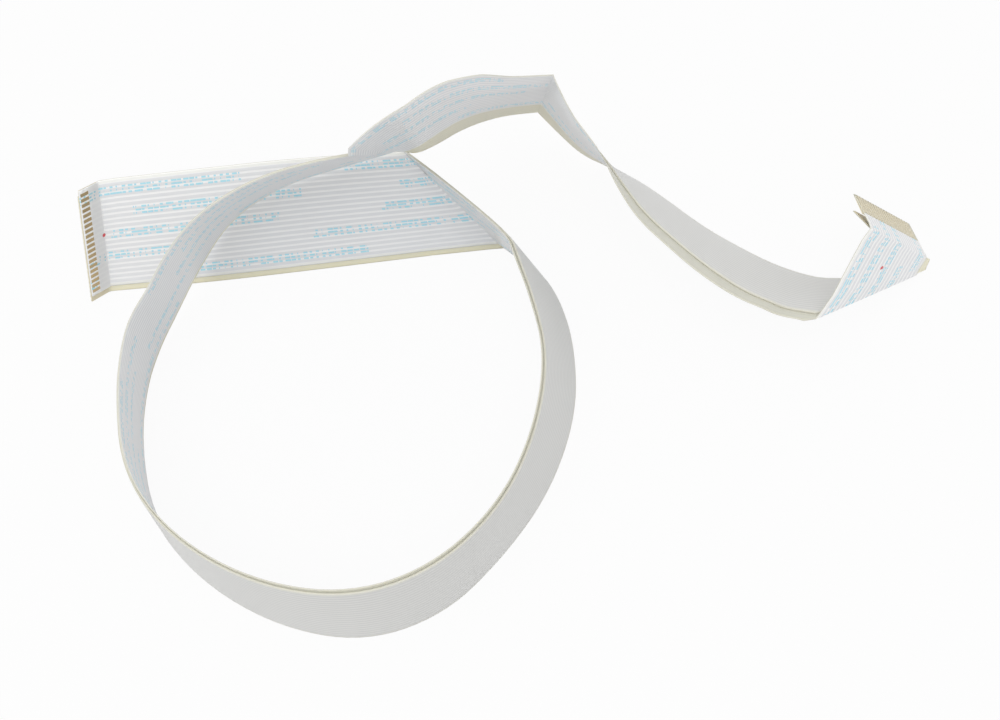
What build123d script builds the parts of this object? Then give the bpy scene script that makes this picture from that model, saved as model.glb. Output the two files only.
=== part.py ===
from build123d import *
import os

os.makedirs("parts", exist_ok=True)

# Size of one flat cable: twenty strips side by side, with half a pitch more at each margin
conductor_pitch = 1.25
conductor_count = 20
cable_width = conductor_pitch * (conductor_count + 1)
ply_thickness = 0.2
ply_gap = 0.25
ply_spacing = ply_thickness + ply_gap

# Bare contacts and the stiff tape behind them, at each end of each ply
contact_length = 4.2
contact_thickness = 0.06
contact_width_share = 0.6
contact_width = conductor_pitch * contact_width_share
contact_setback = 0.2
tape_length = 4.8
tape_thickness = 0.1
tab_clearance = 0.75
left_tab_length = tape_length + tab_clearance

# Where the route's own origin sits in the part's frame
place_x = -3.3
place_y = 2.6
place_z = 0.075

# How finely a bent leg is divided
steps_per_row = 3

# The route of the plain ply's lower edge, leg by leg from the left end, chosen by hand:
# x, y, z in millimetres, the azimuth and elevation of the line across the cable, and how far
# the printed ply has slipped up that line. Neighbouring legs share the row of their crease.
left_tab_heading = (-0.54, -0.72, 0.43)
left_tab_root = (-86, 17, 0, 80, 62, 1.5)
left_tab_tip = [root + step * left_tab_length for root, step in zip(left_tab_root, left_tab_heading)]
left_tab = [(*left_tab_tip, *left_tab_root[3:]), left_tab_root]
panel = [
    left_tab_root,
    (-66, 19, 0, 86, 60, 1.5),
    (-40, 22.5, 0, 90, 61, 1.5),
    (-15.5, 26, 0, 117, 65, 1.5),
]
corner = [(-15.5, 26, 0, 117, 65, 1.5), (1, 28, 0, 157, 48, 1.5)]
loop = [
    (1, 28, 0, 157, 48, 1.5),
    (9, 21.5, 0, -152, 72, 1.5),
    (13, 15, 0, -160, 68, 1.5),
    (16, 4, 0, -171, 69, 1.3),
    (16.3, -12, 0, 173, 75, 1.2),
    (10.5, -29.5, 0, 156, 81, 1.2),
    (1, -43.3, 0, 141, 87, 1.2),
    (-11, -55.5, 0, 128, 86, 1.2),
    (-27, -61, 0, 95, 86, 1.2),
    (-44.5, -57.5, 0, 68, 88, 1.2),
    (-60, -48.5, 0, 48, 89, 1.2),
    (-71, -36, 0, 27, 88, 1.3),
    (-75.3, -19, 0, 8, 86, 1.5),
    (-75.6, -6, 0, -25, 85, 1.5),
    (-73.5, 3.5, 0.4, -72, 79, 1.5),
    (-70.6, 10, 1.8, -85, 73, 1.5),
    (-66.5, 17.8, 5.3, -91, 68, 1.5),
    (-58, 27, 14.3, -95, 60, 1.6),
    (-45, 31.5, 21.2, -98, 59, 1.8),
    (-32, 33.5, 24.7, -98, 59, 2.2),
    (-20.5, 35, 28.6, -112, 52, 2.5),
]
back_run = [
    (-20.5, 35, 28.6, -112, 52, 2.5),
    (-18.3, 34.6, 27, -99, 65, 4),
    (-13.6, 38.8, 24.6, -88, 70.5, 7),
    (-8.8, 44.6, 21.6, -81, 68, 9),
    (-3.3, 49.6, 18.3, -81, 66, 9.5),
    (2.7, 52.9, 16, -83, 65, 9.5),
    (8.5, 54.9, 14, -83, 65, 9.5),
]
descent = [
    (8.5, 54.9, 14, -83, 65, 9.5),
    (13.5, 52.1, 9.5, -91, 64, 9.5),
    (18.8, 48.8, 6, -95, 63, 9),
    (24.7, 47.8, 3, -101, 59, 8),
    (31.4, 45.1, 1, -112, 54, 7.5),
    (37.5, 40.9, 0, -116, 49, 7),
    (45.3, 33.7, 0, -121, 48, 6.5),
    (53.4, 28, 0, -126, 45, 6),
    (63.4, 22.1, 0, -129, 42, 5),
    (75.3, 18.8, 0, -133, 40, 4),
    (94.5, 22.5, 0, -144, 29, 3),
]
flap = [(94.5, 22.5, 0, -144, 29, 3), (95.6, 24.5, 0.3, -166, 47, 2)]
right_tab = [(95.6, 24.5, 0.3, -166, 47, 2), (92.5, 32.4, 1.2, -166, 47, 2)]
plain_right_tab = [(95.6, 24.5, 0.3, -166, 47, 2), (91.9, 29.8, 0, -166, 47, 2)]
shared_legs = [left_tab, panel, corner, loop, back_run, descent, flap]
printed_legs = shared_legs + [right_tab]
plain_legs = shared_legs + [plain_right_tab]


# A row as a rim point and a unit line across the cable
def row_vectors(row):
    x, y, z, azimuth, elevation, slip = row
    across = Vector(1, 0, 0).rotate(Axis.Y, -elevation).rotate(Axis.Z, azimuth)
    return Vector(x + place_x, y + place_y, z + place_z), across


# A clamped quadratic spline through control values, divided evenly between its knots
def divided(controls):
    if len(controls) == 2:
        return controls
    inner = [(a + b) * 0.5 for a, b in zip(controls[1:-2], controls[2:-1])]
    knots = [controls[0]] + inner + [controls[-1]]
    points = [controls[0]]
    for start, middle, finish in zip(knots[:-1], controls[1:-1], knots[1:]):
        for step in range(1, steps_per_row + 1):
            t = step / steps_per_row
            points.append(start * (1 - t) ** 2 + middle * (2 * t * (1 - t)) + finish * t**2)
    return points


# Stations of a ply: rim points along its legs, the lines across the cable and the slips there
def stations(legs):
    rims = []
    lines = []
    slips = []
    for leg in legs:
        rows = [row_vectors(row) for row in leg]
        leg_rims = divided([rim for rim, across in rows])
        leg_lines = divided([across for rim, across in rows])
        first = 1 if rims else 0
        rims += leg_rims[first:]
        lines += [line.normalized() for line in leg_lines[first:]]
        slips += divided([row[-1] for row in leg])[first:]
    return rims, lines, slips


# Section planes of a ply: x across the cable, y through its thickness, mitred where it turns
def ply_sections(legs, lift, slip_share):
    rims, lines, slips = stations(legs)
    sections = []
    for i, (rim, across, slip) in enumerate(zip(rims, lines, slips)):
        around = rims[max(i - 1, 0) : i + 2]
        travels = [(b - a).normalized() for a, b in zip(around[:-1], around[1:])]
        faces = [travel.cross(across) for travel in travels]
        slant = sum(face.length for face in faces) / len(faces)
        face = sum([f.normalized() for f in faces], Vector(0, 0, 0)).normalized()
        mitre = face.dot(faces[0].normalized())
        middle = (slip * slip_share + cable_width / 2) / slant
        origin = rim + across * middle + face * (lift / mitre)
        plane = Plane(origin=origin, x_dir=across, z_dir=across.cross(face))
        sections.append((plane, cable_width / slant, ply_thickness / mitre))
    return sections


plain_sections = ply_sections(plain_legs, 0, 0)
printed_sections = ply_sections(printed_legs, ply_spacing, 1)

# The plain ply, one laminate along the whole route
with BuildPart() as plain_ply:
    for plane, width, thickness in plain_sections:
        with BuildSketch(plane):
            Rectangle(width, thickness)
    loft(ruled=True)
plain_ply.part.label = "plain ply"

# The printed ply, laid on the plain one and a little higher across it
with BuildPart() as printed_ply:
    for plane, width, thickness in printed_sections:
        with BuildSketch(plane):
            Rectangle(width, thickness)
    loft(ruled=True)
printed_ply.part.label = "printed ply"


# The flat plane of an end tab: x across the cable, z out of the printed side
def tab_plane(section):
    tip = section[0]
    return Plane(origin=tip.origin, x_dir=tip.x_dir, z_dir=tip.y_dir)


printed_left = tab_plane(printed_sections[0])
printed_right = tab_plane(printed_sections[-1])
plain_left = tab_plane(plain_sections[0])
plain_right = tab_plane(plain_sections[-1])
contact_run = contact_setback + contact_length / 2
contact_rise = (ply_thickness + contact_thickness) / 2
tape_run = tape_length / 2
tape_rise = (ply_thickness + tape_thickness) / 2

# Contact strips of the printed ply, on its printed face
with BuildPart(printed_left) as printed_contacts_left:
    with Locations((0, -contact_run, contact_rise)):
        with GridLocations(conductor_pitch, conductor_pitch, conductor_count, 1):
            Box(contact_width, contact_length, contact_thickness)
printed_contacts_left.part.label = "printed ply contacts, left end"

with BuildPart(printed_right) as printed_contacts_right:
    with Locations((0, contact_run, contact_rise)):
        with GridLocations(conductor_pitch, conductor_pitch, conductor_count, 1):
            Box(contact_width, contact_length, contact_thickness)
printed_contacts_right.part.label = "printed ply contacts, right end"

# Contact strips of the plain ply, on its outer face
with BuildPart(plain_left) as plain_contacts_left:
    with Locations((0, -contact_run, -contact_rise)):
        with GridLocations(conductor_pitch, conductor_pitch, conductor_count, 1):
            Box(contact_width, contact_length, contact_thickness)
plain_contacts_left.part.label = "plain ply contacts, left end"

with BuildPart(plain_right) as plain_contacts_right:
    with Locations((0, contact_run, -contact_rise)):
        with GridLocations(conductor_pitch, conductor_pitch, conductor_count, 1):
            Box(contact_width, contact_length, contact_thickness)
plain_contacts_right.part.label = "plain ply contacts, right end"

# Stiff tapes behind the contacts, between the two plies
with BuildPart(printed_left) as printed_tape_left:
    with Locations((0, -tape_run, -tape_rise)):
        Box(cable_width, tape_length, tape_thickness)
printed_tape_left.part.label = "printed ply tape, left end"

with BuildPart(printed_right) as printed_tape_right:
    with Locations((0, tape_run, -tape_rise)):
        Box(cable_width, tape_length, tape_thickness)
printed_tape_right.part.label = "printed ply tape, right end"

with BuildPart(plain_left) as plain_tape_left:
    with Locations((0, -tape_run, tape_rise)):
        Box(cable_width, tape_length, tape_thickness)
plain_tape_left.part.label = "plain ply tape, left end"

with BuildPart(plain_right) as plain_tape_right:
    with Locations((0, tape_run, tape_rise)):
        Box(cable_width, tape_length, tape_thickness)
plain_tape_right.part.label = "plain ply tape, right end"

export_step(plain_ply.part, "parts/plain_ply.step")
export_step(printed_ply.part, "parts/printed_ply.step")
export_step(printed_contacts_left.part, "parts/printed_contacts_left.step")
export_step(printed_contacts_right.part, "parts/printed_contacts_right.step")
export_step(plain_contacts_left.part, "parts/plain_contacts_left.step")
export_step(plain_contacts_right.part, "parts/plain_contacts_right.step")
export_step(printed_tape_left.part, "parts/printed_tape_left.step")
export_step(printed_tape_right.part, "parts/printed_tape_right.step")
export_step(plain_tape_left.part, "parts/plain_tape_left.step")
export_step(plain_tape_right.part, "parts/plain_tape_right.step")
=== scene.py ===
import math

import bmesh
import bpy
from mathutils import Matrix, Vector


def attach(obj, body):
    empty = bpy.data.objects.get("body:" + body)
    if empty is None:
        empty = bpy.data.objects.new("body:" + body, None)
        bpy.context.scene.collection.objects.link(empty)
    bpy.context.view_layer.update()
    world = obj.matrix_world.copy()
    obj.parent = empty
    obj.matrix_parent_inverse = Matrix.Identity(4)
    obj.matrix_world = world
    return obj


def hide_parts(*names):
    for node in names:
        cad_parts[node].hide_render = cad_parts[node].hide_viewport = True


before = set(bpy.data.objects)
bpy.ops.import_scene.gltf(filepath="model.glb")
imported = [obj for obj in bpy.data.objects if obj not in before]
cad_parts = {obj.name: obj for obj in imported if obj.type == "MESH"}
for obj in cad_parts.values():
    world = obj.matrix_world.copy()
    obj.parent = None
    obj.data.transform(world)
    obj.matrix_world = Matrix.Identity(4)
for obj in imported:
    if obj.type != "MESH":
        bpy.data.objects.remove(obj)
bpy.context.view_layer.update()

# Lay of the cable: two flat plies bent together, from the left tab to the right one.
# Each row is a point on the plain ply's lower edge in metres, the azimuth and elevation in
# degrees of the line across the cable, and the printed ply's slip up it. Legs meet at creases.
mm = 0.001
place = Vector((-3.3, 2.6, 0.075)) * mm
left_tab = [(-0.089, 0.013, 0.00239, 80, 62, 0.0015), (-0.086, 0.017, 0, 80, 62, 0.0015)]
panel = [
    (-0.086, 0.017, 0, 80, 62, 0.0015),
    (-0.066, 0.019, 0, 86, 60, 0.0015),
    (-0.04, 0.0225, 0, 90, 61, 0.0015),
    (-0.0155, 0.026, 0, 117, 65, 0.0015),
]
corner = [(-0.0155, 0.026, 0, 117, 65, 0.0015), (0.001, 0.028, 0, 157, 48, 0.0015)]
loop = [
    (0.001, 0.028, 0, 157, 48, 0.0015),
    (0.009, 0.0215, 0, -152, 72, 0.0015),
    (0.013, 0.015, 0, -160, 68, 0.0015),
    (0.016, 0.004, 0, -171, 69, 0.0013),
    (0.0163, -0.012, 0, 173, 75, 0.0012),
    (0.0105, -0.0295, 0, 156, 81, 0.0012),
    (0.001, -0.0433, 0, 141, 87, 0.0012),
    (-0.011, -0.0555, 0, 128, 86, 0.0012),
    (-0.027, -0.061, 0, 95, 86, 0.0012),
    (-0.0445, -0.0575, 0, 68, 88, 0.0012),
    (-0.06, -0.0485, 0, 48, 89, 0.0012),
    (-0.071, -0.036, 0, 27, 88, 0.0013),
    (-0.0753, -0.019, 0, 8, 86, 0.0015),
    (-0.0756, -0.006, 0, -25, 85, 0.0015),
    (-0.0735, 0.0035, 0.0004, -72, 79, 0.0015),
    (-0.0706, 0.01, 0.0018, -85, 73, 0.0015),
    (-0.0665, 0.0178, 0.0053, -91, 68, 0.0015),
    (-0.058, 0.027, 0.0143, -95, 60, 0.0016),
    (-0.045, 0.0315, 0.0212, -98, 59, 0.0018),
    (-0.032, 0.0335, 0.0247, -98, 59, 0.0022),
    (-0.0205, 0.035, 0.0286, -112, 52, 0.0025),
]
back_run = [
    (-0.0205, 0.035, 0.0286, -112, 52, 0.0025),
    (-0.0183, 0.0346, 0.027, -99, 65, 0.004),
    (-0.0136, 0.0388, 0.0246, -88, 70.5, 0.007),
    (-0.0088, 0.0446, 0.0216, -81, 68, 0.009),
    (-0.0033, 0.0496, 0.0183, -81, 66, 0.0095),
    (0.0027, 0.0529, 0.016, -83, 65, 0.0095),
    (0.0085, 0.0549, 0.014, -83, 65, 0.0095),
]
descent = [
    (0.0085, 0.0549, 0.014, -83, 65, 0.0095),
    (0.0135, 0.0521, 0.0095, -91, 64, 0.0095),
    (0.0188, 0.0488, 0.006, -95, 63, 0.009),
    (0.0247, 0.0478, 0.003, -101, 59, 0.008),
    (0.0314, 0.0451, 0.001, -112, 54, 0.0075),
    (0.0375, 0.0409, 0, -116, 49, 0.007),
    (0.0453, 0.0337, 0, -121, 48, 0.0065),
    (0.0534, 0.028, 0, -126, 45, 0.006),
    (0.0634, 0.0221, 0, -129, 42, 0.005),
    (0.0753, 0.0188, 0, -133, 40, 0.004),
    (0.0945, 0.0225, 0, -144, 29, 0.003),
]
flap = [(0.0945, 0.0225, 0, -144, 29, 0.003), (0.0956, 0.0245, 0.0003, -166, 47, 0.002)]
right_tab = [(0.0956, 0.0245, 0.0003, -166, 47, 0.002), (0.0925, 0.0324, 0.0012, -166, 47, 0.002)]
plain_right_tab = [(0.0956, 0.0245, 0.0003, -166, 47, 0.002), (0.0919, 0.0298, 0, -166, 47, 0.002)]
shared_legs = [left_tab, panel, corner, loop, back_run, descent, flap]
printed_legs = shared_legs + [right_tab]
plain_legs = shared_legs + [plain_right_tab]

pitch = 1.25 * mm
conductors = 20
cable_width = pitch * (conductors + 1)
film_thickness = 0.2 * mm


def spline_points(controls):
    curve = bpy.data.curves.new("route", "CURVE")
    curve.dimensions = "3D"
    spline = curve.splines.new("NURBS")
    spline.points.add(len(controls) - 1)
    for point, control in zip(spline.points, controls):
        point.co = (*control, 1)
    spline.order_u = min(3, len(controls))
    spline.use_endpoint_u = True
    spline.resolution_u = 7
    holder = bpy.data.objects.new("route", curve)
    line = bpy.data.meshes.new_from_object(holder)
    points = [vertex.co.copy() for vertex in line.vertices]
    bpy.data.objects.remove(holder)
    bpy.data.curves.remove(curve)
    bpy.data.meshes.remove(line)
    return points


def line_across(azimuth, elevation):
    turn = math.radians(azimuth)
    rise = math.radians(elevation)
    return Vector((math.cos(rise) * math.cos(turn), math.cos(rise) * math.sin(turn), math.sin(rise)))


def ply_stations(legs, lift, slip_share):
    rims = []
    lines = []
    slips = []
    creases = []
    for leg in legs:
        starts = [Vector(row[:3]) + place for row in leg]
        tops = [start + line_across(*row[3:5]) for start, row in zip(starts, leg)]
        ends = [start + Vector((row[5], 0, 0)) for start, row in zip(starts, leg)]
        leg_rims = spline_points(starts)
        leg_lines = [(top - rim).normalized() for rim, top in zip(leg_rims, spline_points(tops))]
        leg_slips = [(end - rim).x for rim, end in zip(leg_rims, spline_points(ends))]
        first = 1 if rims else 0
        rims += leg_rims[first:]
        lines += leg_lines[first:]
        slips += leg_slips[first:]
        creases.append(len(rims) - 1)
    stations = []
    along = 0.0
    for i, (rim, across, slip) in enumerate(zip(rims, lines, slips)):
        travels = []
        if i > 0:
            travels.append((rim - rims[i - 1]).normalized())
        if i < len(rims) - 1:
            travels.append((rims[i + 1] - rim).normalized())
        faces = [travel.cross(across) for travel in travels]
        slant = sum(face.length for face in faces) / len(faces)
        face = sum((f.normalized() for f in faces), Vector()).normalized()
        mitre = face.dot(faces[0].normalized())
        edge = rim + across * (slip * slip_share / slant) + face * (lift / mitre)
        middle = edge + across * (cable_width / 2 / slant)
        if stations:
            along += (middle - stations[-1]["middle"]).length
        station = {"edge": edge, "middle": middle, "along": along, "crease": i in creases[:-1]}
        station["across"] = across / slant
        station["face"] = face / mitre
        stations.append(station)
    return stations


# Plain ply: cream polyester film laid over flat copper strips and pressed between rollers,
# so that it stands a little proud over each strip. It lies on the printed ply's back.
columns_per_pitch = 4
ridge_height = 0.05 * mm
fold_radius = 0.35 * mm


def ridge(across):
    inside = pitch / 2 < across < cable_width - pitch / 2
    phase = (across - pitch / 2) / pitch
    return ridge_height * math.sin(math.pi * (phase % 1)) ** 2 if inside else 0.0


def laminate(name, stations, front_ridges, front_filler):
    columns = columns_per_pitch * (conductors + 1)
    steps = [cable_width * i / columns for i in range(columns + 1)]
    half = film_thickness / 2
    back_ridges = 1 - front_ridges
    profile = [(step, half + ridge(step) * front_ridges, front_filler) for step in steps]
    profile += [(step, -half - ridge(step) * back_ridges, 0) for step in reversed(steps)]
    profile.append(profile[0])
    creases = [i for i, station in enumerate(stations) if station["crease"]]
    last_turn = len(profile) - 1
    last_row = len(stations) - 1
    bm = bmesh.new()
    bmesh.ops.create_grid(bm, x_segments=last_turn, y_segments=last_row, size=0.5)
    uv = bm.loops.layers.uv.new("film")
    for face in bm.faces:
        turn = int((face.calc_center_median().x + 0.5) * last_turn)
        on_edge = turn % (columns + 1) == columns
        face.material_index = 2 if on_edge else turn // (columns + 1)
        face.smooth = True
        for corner_loop in face.loops:
            spot = corner_loop.vert.co
            step = profile[round((spot.x + 0.5) * last_turn)][0]
            row = stations[round((spot.y + 0.5) * last_row)]
            corner_loop[uv].uv = (step, row["along"])
    rows = [[] for station in stations]
    for vertex in bm.verts:
        step, rise, filler = profile[round((vertex.co.x + 0.5) * last_turn)]
        index = round((vertex.co.y + 0.5) * last_row)
        if creases[0] <= index <= creases[-1]:
            rise += filler
        row = stations[index]
        vertex.co = row["edge"] + row["across"] * step + row["face"] * rise
        rows[index].append(vertex)
    fold_edges = []
    for station, row_vertices in zip(stations, rows):
        if station["crease"]:
            fold = set(row_vertices)
            fold_edges += [edge for edge in bm.edges if fold.issuperset(edge.verts)]
    bmesh.ops.remove_doubles(bm, verts=bm.verts, dist=1e-7)
    fold_edges = [edge for edge in fold_edges if edge.is_valid]
    bmesh.ops.bevel(
        bm, geom=fold_edges, offset=fold_radius, offset_type="OFFSET", segments=3, profile=0.5,
        affect="EDGES", material=-1, clamp_overlap=True,
    )
    bmesh.ops.holes_fill(bm, edges=bm.edges, sides=0)
    bmesh.ops.recalc_face_normals(bm, faces=bm.faces)
    mesh = bpy.data.meshes.new(name)
    bm.to_mesh(mesh)
    bm.free()
    piece = bpy.data.objects.new(name, mesh)
    bpy.context.scene.collection.objects.link(piece)
    return piece


def linear(hex_colour):
    channels = [int(hex_colour[i : i + 2], 16) / 255 for i in (1, 3, 5)]
    return [c / 12.92 if c <= 0.04045 else ((c + 0.055) / 1.055) ** 2.4 for c in channels] + [1]


def add_node(tree, kind, inputs=None, **settings):
    node = tree.nodes.new(kind)
    for key, value in settings.items():
        setattr(node, key, value)
    for key, value in (inputs or {}).items():
        if isinstance(value, bpy.types.NodeSocket):
            tree.links.new(value, node.inputs[key])
        else:
            node.inputs[key].default_value = value
    return node


# Extruded polyester film over flat tinned strips: smooth and slightly glossy. The strips show
# through as cooler bands, the film between them is whiter, and the bare margins are creamy.
def polyester_film(name, strip_colour, gap_colour, margin_colour, roughness):
    material = bpy.data.materials.new(name)
    material.use_nodes = True
    tree = material.node_tree
    tree.nodes.clear()
    film_uv = add_node(tree, "ShaderNodeUVMap", uv_map="film")
    spot = add_node(tree, "ShaderNodeSeparateXYZ", {0: film_uv.outputs[0]})
    shifted = add_node(tree, "ShaderNodeMath", {0: spot.outputs[0], 1: pitch / 2}, operation="SUBTRACT")
    turns = add_node(tree, "ShaderNodeMath", {0: shifted.outputs[0], 1: pitch}, operation="DIVIDE")
    phase = add_node(tree, "ShaderNodeMath", {0: turns.outputs[0], 1: 0.5}, operation="PINGPONG")
    strip = add_node(
        tree, "ShaderNodeMapRange", {"Value": phase.outputs[0], "From Min": 0.12, "From Max": 0.26}
    )
    half = cable_width / 2
    off_middle = add_node(tree, "ShaderNodeMath", {0: spot.outputs[0], 1: half}, operation="SUBTRACT")
    reach = add_node(tree, "ShaderNodeMath", {0: off_middle.outputs[0]}, operation="ABSOLUTE")
    margin = add_node(
        tree, "ShaderNodeMath", {0: reach.outputs[0], 1: half - pitch * 0.6}, operation="GREATER_THAN"
    )
    bands = add_node(
        tree, "ShaderNodeMix", {0: strip.outputs[0], 6: linear(gap_colour), 7: linear(strip_colour)},
        data_type="RGBA",
    )
    film = add_node(
        tree, "ShaderNodeMix", {0: margin.outputs[0], 6: bands.outputs[2], 7: linear(margin_colour)},
        data_type="RGBA",
    )
    surface = add_node(
        tree, "ShaderNodeBsdfPrincipled",
        {"Base Color": film.outputs[2], "Roughness": roughness, "IOR": 1.57,
         "Subsurface Weight": 0.5, "Subsurface Scale": 0.3 * mm, "Subsurface Radius": (1, 1, 1)},
    )
    add_node(tree, "ShaderNodeOutputMaterial", {0: surface.outputs[0]})
    return material, film, surface, film_uv, spot


cream_film = polyester_film("cream_polyester_film", "#E6E2CA", "#EAE6D1", "#E8E3C8", 0.4)[0]
grey_film = polyester_film("grey_polyester_film", "#D2D2D0", "#DEDEDB", "#DAD9D1", 0.38)[0]
# Cut edge of both films: matt, and darker and greyer than either film, which is painted shade on the thin edges
# and in the slit between the plies.
cut_edge = bpy.data.materials.new("cut_polyester_edge")
cut_edge.use_nodes = True
tree = cut_edge.node_tree
tree.nodes.clear()
surface = add_node(
    tree, "ShaderNodeBsdfPrincipled",
    {"Base Color": linear("#D2D0C4"), "Roughness": 0.5, "IOR": 1.57,
     "Subsurface Weight": 0.5, "Subsurface Scale": 0.3 * mm, "Subsurface Radius": (1, 1, 1)},
)
add_node(tree, "ShaderNodeOutputMaterial", {0: surface.outputs[0]})
plain_stations = ply_stations(plain_legs, 0, 0)
plain_ply = laminate("plain_ply_film", plain_stations, 0, 0.24 * mm)
plain_ply.data.materials.append(cream_film)
plain_ply.data.materials.append(grey_film)
plain_ply.data.materials.append(cut_edge)
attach(plain_ply, "root")
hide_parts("plain_ply")

# Printed ply: the same laminate in white film, laid on the plain one and a little higher.
# Its outer face carries pale blue ink in short plain dashes along the cable.
ply_spacing = 0.45 * mm
mark_row = 5.25 * mm
stroke_pitch = 0.75 * mm
stroke_share = 0.56
dash_cell = 1.3 * mm
mark_group = 58 * mm
index_dots = [(13.25 * mm, 5.05 * mm), (14.5 * mm, 491.2 * mm)]
inked_film, film, surface, film_uv, spot = polyester_film(
    "inked_polyester_film", "#E2E3E5", "#F8F8F8", "#F0F0EC", 0.34
)
tree = inked_film.node_tree
printed_stations = ply_stations(printed_legs, ply_spacing, 1)
# Painted light: on the left tab and the cover strip on it, the film is mixed three quarters of the way to white,
# so that the tab, which faces away from the softbox, looks as bright as the panel.
left_root = next(station["along"] for station in printed_stations if station["crease"])
near_tip = add_node(tree, "ShaderNodeMath", {0: spot.outputs[1], 1: left_root}, operation="LESS_THAN")
tab_painted_light = add_node(tree, "ShaderNodeMath", {0: near_tip.outputs[0], 1: 0.75}, operation="MULTIPLY")
film = add_node(
    tree, "ShaderNodeMix", {0: tab_painted_light.outputs[0], 6: film.outputs[2], 7: linear("#FFFFFF")},
    data_type="RGBA",
)
row_turns = add_node(tree, "ShaderNodeMath", {0: spot.outputs[0], 1: mark_row}, operation="DIVIDE")
row = add_node(tree, "ShaderNodeMath", {0: row_turns.outputs[0]}, operation="FLOOR")
row_spot = add_node(tree, "ShaderNodeMath", {0: row_turns.outputs[0]}, operation="FRACT")
in_row = add_node(
    tree, "ShaderNodeMath", {0: row_spot.outputs[0], 1: 0.5, 2: 1.5 * stroke_pitch / mark_row},
    operation="COMPARE",
)
stroke_turns = add_node(
    tree, "ShaderNodeMath", {0: row_spot.outputs[0], 1: mark_row / stroke_pitch}, operation="MULTIPLY"
)
stroke = add_node(tree, "ShaderNodeMath", {0: stroke_turns.outputs[0]}, operation="FLOOR")
stroke_spot = add_node(tree, "ShaderNodeMath", {0: stroke_turns.outputs[0]}, operation="FRACT")
in_stroke = add_node(
    tree, "ShaderNodeMath", {0: stroke_spot.outputs[0], 1: 0.5, 2: stroke_share / 2}, operation="COMPARE"
)
row_draw = add_node(tree, "ShaderNodeTexWhiteNoise", {"W": row.outputs[0]}, noise_dimensions="1D")
shifted = add_node(
    tree, "ShaderNodeMath", {0: row_draw.outputs[0], 1: mark_group, 2: spot.outputs[1]}, operation="MULTIPLY_ADD"
)
cells = add_node(tree, "ShaderNodeMath", {0: shifted.outputs[0], 1: dash_cell}, operation="DIVIDE")
cell = add_node(tree, "ShaderNodeMath", {0: cells.outputs[0]}, operation="FLOOR")
within = add_node(tree, "ShaderNodeMath", {0: cells.outputs[0]}, operation="FRACT")
key = add_node(
    tree, "ShaderNodeCombineXYZ", {0: cell.outputs[0], 1: row.outputs[0], 2: stroke.outputs[0]}
)
draw = add_node(tree, "ShaderNodeTexWhiteNoise", {"Vector": key.outputs[0]}, noise_dimensions="3D")
dash = add_node(tree, "ShaderNodeMath", {0: within.outputs[0], 1: draw.outputs[0]}, operation="LESS_THAN")
groups = add_node(tree, "ShaderNodeMath", {0: shifted.outputs[0], 1: mark_group}, operation="DIVIDE")
group = add_node(tree, "ShaderNodeMath", {0: groups.outputs[0]}, operation="FRACT")
mark = add_node(tree, "ShaderNodeMath", {0: group.outputs[0], 1: 0.62}, operation="LESS_THAN")
for factor in (in_row, in_stroke, dash):
    mark = add_node(tree, "ShaderNodeMath", {0: mark.outputs[0], 1: factor.outputs[0]}, operation="MULTIPLY")
ink_share = add_node(tree, "ShaderNodeMath", {0: mark.outputs[0], 1: 0.8}, operation="MULTIPLY")
inked = add_node(
    tree, "ShaderNodeMix", {0: ink_share.outputs[0], 6: film.outputs[2], 7: linear("#93D8EA")},
    data_type="RGBA",
)
colour = inked
for dot_spot in index_dots:
    gap = add_node(
        tree, "ShaderNodeVectorMath", {0: film_uv.outputs[0], 1: (*dot_spot, 0)}, operation="DISTANCE"
    )
    dot = add_node(tree, "ShaderNodeMath", {0: gap.outputs["Value"], 1: 0.45 * mm}, operation="LESS_THAN")
    colour = add_node(
        tree, "ShaderNodeMix", {0: dot.outputs[0], 6: colour.outputs[2], 7: linear("#D8434E")},
        data_type="RGBA",
    )
band = add_node(
    tree, "ShaderNodeMath", {0: spot.outputs[1], 1: printed_stations[-1]["along"] - 4.6 * mm},
    operation="GREATER_THAN",
)
colour = add_node(
    tree, "ShaderNodeMix", {0: band.outputs[0], 6: colour.outputs[2], 7: linear("#CBC5AC")},
    data_type="RGBA",
)
tree.links.new(colour.outputs[2], surface.inputs["Base Color"])
pale_film = polyester_film("pale_cream_polyester_film", "#D0CFC2", "#D4D3C6", "#D2D0C0", 0.4)[0]
printed_ply = laminate("printed_ply_film", printed_stations, 1, 0)
printed_ply.data.materials.append(inked_film)
printed_ply.data.materials.append(pale_film)
printed_ply.data.materials.append(cut_edge)
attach(printed_ply, "root")
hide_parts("printed_ply")

# Contacts: the bare ends of the copper strips, tinned, in a row on the outer face of each end.
# The left rows have dulled to gold. The right ones are paler, in a tan band of the film.
for side, metal_colour, roughness in (("left", "#BCA680", 0.42), ("right", "#DCD4BF", 0.55)):
    tinned_copper = bpy.data.materials.new("tinned_copper_" + side)
    tinned_copper.use_nodes = True
    tree = tinned_copper.node_tree
    tree.nodes.clear()
    surface = add_node(
        tree, "ShaderNodeBsdfPrincipled",
        {"Base Color": linear(metal_colour), "Metallic": 1.0, "Roughness": roughness},
    )
    add_node(tree, "ShaderNodeOutputMaterial", {0: surface.outputs[0]})
    for ply in ("printed", "plain"):
        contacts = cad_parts[ply + "_contacts_" + side]
        contacts.data.materials.clear()
        contacts.data.materials.append(tinned_copper)

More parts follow.
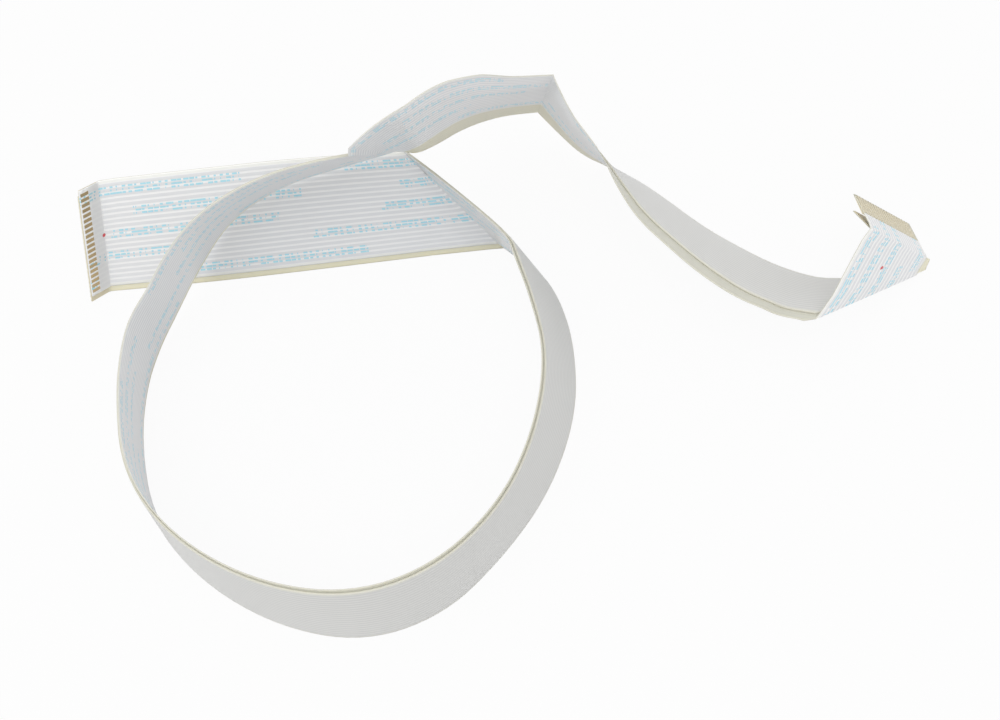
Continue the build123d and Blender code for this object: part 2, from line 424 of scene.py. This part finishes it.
# Cover strips: thin film lapped over the inner half of each left row of contacts, so that
# only their tips stay bare. Each is glued to its ply's outer face and matches it.
bare_length = 2.3 * mm
cover_thickness = 0.04 * mm
cover_rise = film_thickness / 2 + 0.09 * mm
for name, stations, out, cover_film, slot in (
    ("printed_cover", printed_stations, 1, inked_film, "printed_film"),
    ("plain_cover", plain_stations, -1, grey_film, "plain_film"),
):
    tip = stations[0]
    root = next(station for station in stations if station["crease"])
    inward = (root["middle"] - tip["middle"]).normalized()
    cover_length = root["along"] - fold_radius - bare_length
    bm = bmesh.new()
    bmesh.ops.create_grid(bm, x_segments=1, y_segments=1, size=0.5)
    bmesh.ops.solidify(bm, geom=bm.faces, thickness=cover_thickness)
    uv = bm.loops.layers.uv.new("film")
    for face in bm.faces:
        for corner_loop in face.loops:
            spot = corner_loop.vert.co
            corner_loop[uv].uv = ((spot.x + 0.5) * cable_width, bare_length + (spot.y + 0.5) * cover_length)
    for vertex in bm.verts:
        step = (vertex.co.x + 0.5) * cable_width
        reach = bare_length + (vertex.co.y + 0.5) * cover_length
        rise = out * (cover_rise + vertex.co.z)
        vertex.co = tip["edge"] + tip["across"] * step + inward * reach + tip["face"] * rise
    bmesh.ops.recalc_face_normals(bm, faces=bm.faces)
    mesh = bpy.data.meshes.new(name)
    bm.to_mesh(mesh)
    bm.free()
    mesh.materials.append(cover_film)
    cover = bpy.data.objects.new(name, mesh)
    bpy.context.scene.collection.objects.link(cover)
    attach(cover, "root")

# Tapes: stiff tan polyester glued behind the contacts, so that the end can be pushed home.
stiff_tape = bpy.data.materials.new("stiff_polyester_tape")
stiff_tape.use_nodes = True
tree = stiff_tape.node_tree
tree.nodes.clear()
surface = add_node(
    tree, "ShaderNodeBsdfPrincipled",
    {"Base Color": linear("#DCD2B6"), "Roughness": 0.45, "IOR": 1.57},
)
add_node(tree, "ShaderNodeOutputMaterial", {0: surface.outputs[0]})
for node in ("printed_tape_left", "printed_tape_right", "plain_tape_left", "plain_tape_right"):
    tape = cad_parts[node]
    tape.data.materials.clear()
    tape.data.materials.append(stiff_tape)

# Stage: a plain white floor, soft light from above, and the camera of the photograph.
floor_mesh = bpy.data.meshes.new("floor")
bm = bmesh.new()
bmesh.ops.create_grid(bm, x_segments=1, y_segments=1, size=2.0)
bm.to_mesh(floor_mesh)
bm.free()
floor = bpy.data.objects.new("floor", floor_mesh)
bpy.context.scene.collection.objects.link(floor)
paper = bpy.data.materials.new("white_paper")
paper.use_nodes = True
tree = paper.node_tree
tree.nodes.clear()
rays = add_node(tree, "ShaderNodeLightPath")
seen = add_node(
    tree, "ShaderNodeMath",
    {0: rays.outputs["Is Camera Ray"], 1: rays.outputs["Is Glossy Ray"]}, operation="MAXIMUM",
)
share = add_node(tree, "ShaderNodeMath", {0: seen.outputs[0], 1: 0.94}, operation="MULTIPLY")
matt = add_node(tree, "ShaderNodeBsdfDiffuse", {"Color": linear("#D0D0D0")})
glow = add_node(tree, "ShaderNodeEmission", {"Color": linear("#FFFFFF"), "Strength": 1.0})
mixed = add_node(tree, "ShaderNodeMixShader", {0: share.outputs[0], 1: matt.outputs[0], 2: glow.outputs[0]})
add_node(tree, "ShaderNodeOutputMaterial", {0: mixed.outputs[0]})
floor_mesh.materials.append(paper)

sky = bpy.data.worlds.new("white_room")
bpy.context.scene.world = sky
sky.use_nodes = True
tree = sky.node_tree
tree.nodes.clear()
rays = add_node(tree, "ShaderNodeLightPath")
seen = add_node(
    tree, "ShaderNodeMath",
    {0: rays.outputs["Is Camera Ray"], 1: rays.outputs["Is Glossy Ray"]}, operation="MAXIMUM",
)
strength = add_node(tree, "ShaderNodeMath", {0: seen.outputs[0], 1: 0.2, 2: 0.8}, operation="MULTIPLY_ADD")
room = add_node(
    tree, "ShaderNodeBackground", {"Color": linear("#FFFFFF"), "Strength": strength.outputs[0]}
)
add_node(tree, "ShaderNodeOutputWorld", {0: room.outputs[0]})

softbox = bpy.data.lights.new("softbox", "AREA")
softbox.shape = "RECTANGLE"
softbox.size = 0.7
softbox.size_y = 0.5
softbox.energy = 2.6
softbox_holder = bpy.data.objects.new("softbox", softbox)
softbox_holder.location = (-0.12, -0.2, 0.72)
softbox_holder.rotation_euler = (place - softbox_holder.location).to_track_quat("-Z", "Y").to_euler()
bpy.context.scene.collection.objects.link(softbox_holder)

view_elevation = math.radians(65)
view_distance = 280 * mm
camera = bpy.data.cameras.new("camera")
camera.sensor_width = 36
camera.lens = 46.8
camera.clip_start = 0.01
camera_holder = bpy.data.objects.new("camera", camera)
camera_holder.location = place + Vector((0, -math.cos(view_elevation), math.sin(view_elevation))) * view_distance
camera_holder.rotation_euler = (math.pi / 2 - view_elevation, 0, 0)
bpy.context.scene.collection.objects.link(camera_holder)
bpy.context.scene.camera = camera_holder
bpy.context.scene.view_settings.view_transform = "Standard"
